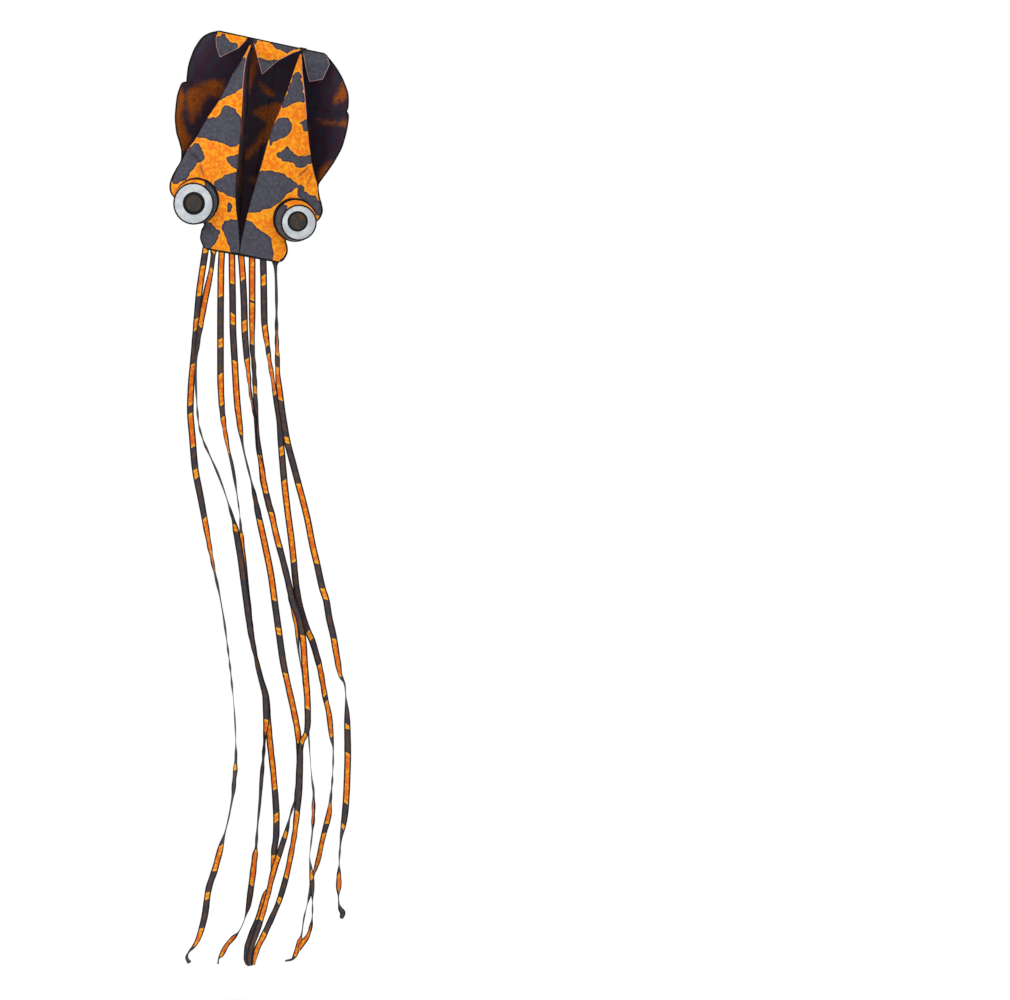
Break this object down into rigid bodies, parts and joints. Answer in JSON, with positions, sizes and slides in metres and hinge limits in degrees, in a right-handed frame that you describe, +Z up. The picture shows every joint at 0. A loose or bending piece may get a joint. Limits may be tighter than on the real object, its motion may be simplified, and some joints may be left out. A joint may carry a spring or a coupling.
{
  "type": "octopus kite",
  "caption": "Soft octopus-shaped kite: a ram-air fabric head with stuffed eyes, a scooped belly and ribbon tentacles that trail from its hem.",
  "frame": {"origin": "midway between the bores of the two bridle loops, where the bridle's pull acts", "axes": "+Z up, -Y towards the flier, +X to the flier's right; the head leans about Y and the tentacles hang along -Z"},
  "size_m": [0.7497, 0.292, 3.9153],
  "materials": {
    "print_outer": "ripstop polyester printed in orange with blue-grey blobs, the outer face",
    "print_reverse": "reverse face of the print, dark navy with muted brown clouds",
    "binding": "black bias binding",
    "hem_webbing": "black folded hem tape",
    "bridle_webbing": "black woven webbing",
    "eye_white": "pale grey-white coated fabric, satin",
    "eye_pupil": "black applique fabric with a brown-grey middle",
    "eye_piping": "black corded piping",
    "eye_socket": "dark printed fabric round the eye",
    "eye_stuffing": "polyester wadding under the eye's face",
    "ribbon": "printed ripstop ribbon, orange and near-black along its length"
  },
  "bodies": {
    "head": {"back_lower_left": "print_reverse", "back_upper_left": "print_reverse", "belly_left": "print_outer", "rib_left": "print_reverse", "lip_left": "print_outer", "side_binding_left": "binding", "eye_socket_left": "eye_socket", "eye_pad_left": "eye_stuffing", "eye_white_left": "eye_white", "eye_pupil_left": "eye_pupil", "eye_piping_left": "eye_piping", "bridle_loop_left": "bridle_webbing", "bridle_patch_left": "bridle_webbing", "back_lower_right": "print_reverse", "back_upper_right": "print_reverse", "belly_right": "print_outer", "rib_right": "print_reverse", "lip_right": "print_outer", "side_binding_right": "binding", "eye_socket_right": "eye_socket", "eye_pad_right": "eye_stuffing", "eye_white_right": "eye_white", "eye_pupil_right": "eye_pupil", "eye_piping_right": "eye_piping", "bridle_loop_right": "bridle_webbing", "bridle_patch_right": "bridle_webbing", "lip_centre": "print_outer", "leading_edge_tape": "binding", "hem_band": "hem_webbing"},
    "tentacle_1": {"tentacle_1": "ribbon"},
    "tentacle_2": {"tentacle_2": "ribbon"},
    "tentacle_3": {"tentacle_3": "ribbon"},
    "tentacle_4": {"tentacle_4": "ribbon"},
    "tentacle_5": {"tentacle_5": "ribbon"},
    "tentacle_6": {"tentacle_6": "ribbon"},
    "tentacle_7": {"tentacle_7": "ribbon"},
    "tentacle_8": {"tentacle_8": "ribbon"}
  },
  "joints": [
    {"name": "tentacle_1_swing", "type": "hinge", "parent": "head", "child": "tentacle_1", "pos_m": [-0.16228, 0.026, -0.87559], "axis": [0.9833, 0, -0.1822], "range_deg": [-60, 60]},
    {"name": "tentacle_2_swing", "type": "hinge", "parent": "head", "child": "tentacle_2", "pos_m": [-0.16228, 0.026, -0.87559], "axis": [0.9833, 0, -0.1822], "range_deg": [-60, 60]},
    {"name": "tentacle_3_swing", "type": "hinge", "parent": "head", "child": "tentacle_3", "pos_m": [-0.16228, 0.026, -0.87559], "axis": [0.9833, 0, -0.1822], "range_deg": [-60, 60]},
    {"name": "tentacle_4_swing", "type": "hinge", "parent": "head", "child": "tentacle_4", "pos_m": [-0.16228, 0.026, -0.87559], "axis": [0.9833, 0, -0.1822], "range_deg": [-60, 60]},
    {"name": "tentacle_5_swing", "type": "hinge", "parent": "head", "child": "tentacle_5", "pos_m": [-0.16228, 0.026, -0.87559], "axis": [0.9833, 0, -0.1822], "range_deg": [-60, 60]},
    {"name": "tentacle_6_swing", "type": "hinge", "parent": "head", "child": "tentacle_6", "pos_m": [-0.16228, 0.026, -0.87559], "axis": [0.9833, 0, -0.1822], "range_deg": [-60, 60]},
    {"name": "tentacle_7_swing", "type": "hinge", "parent": "head", "child": "tentacle_7", "pos_m": [-0.16228, 0.026, -0.87559], "axis": [0.9833, 0, -0.1822], "range_deg": [-60, 60]},
    {"name": "tentacle_8_swing", "type": "hinge", "parent": "head", "child": "tentacle_8", "pos_m": [-0.16228, 0.026, -0.87559], "axis": [0.9833, 0, -0.1822], "range_deg": [-60, 60]}
  ],
  "couplings": [
    {"joint": "tentacle_1_swing", "follows": "tentacle_4_swing", "ratio": 1},
    {"joint": "tentacle_2_swing", "follows": "tentacle_4_swing", "ratio": 1},
    {"joint": "tentacle_3_swing", "follows": "tentacle_4_swing", "ratio": 1},
    {"joint": "tentacle_5_swing", "follows": "tentacle_4_swing", "ratio": 1},
    {"joint": "tentacle_6_swing", "follows": "tentacle_4_swing", "ratio": 1},
    {"joint": "tentacle_7_swing", "follows": "tentacle_4_swing", "ratio": 1},
    {"joint": "tentacle_8_swing", "follows": "tentacle_4_swing", "ratio": 1}
  ]
}
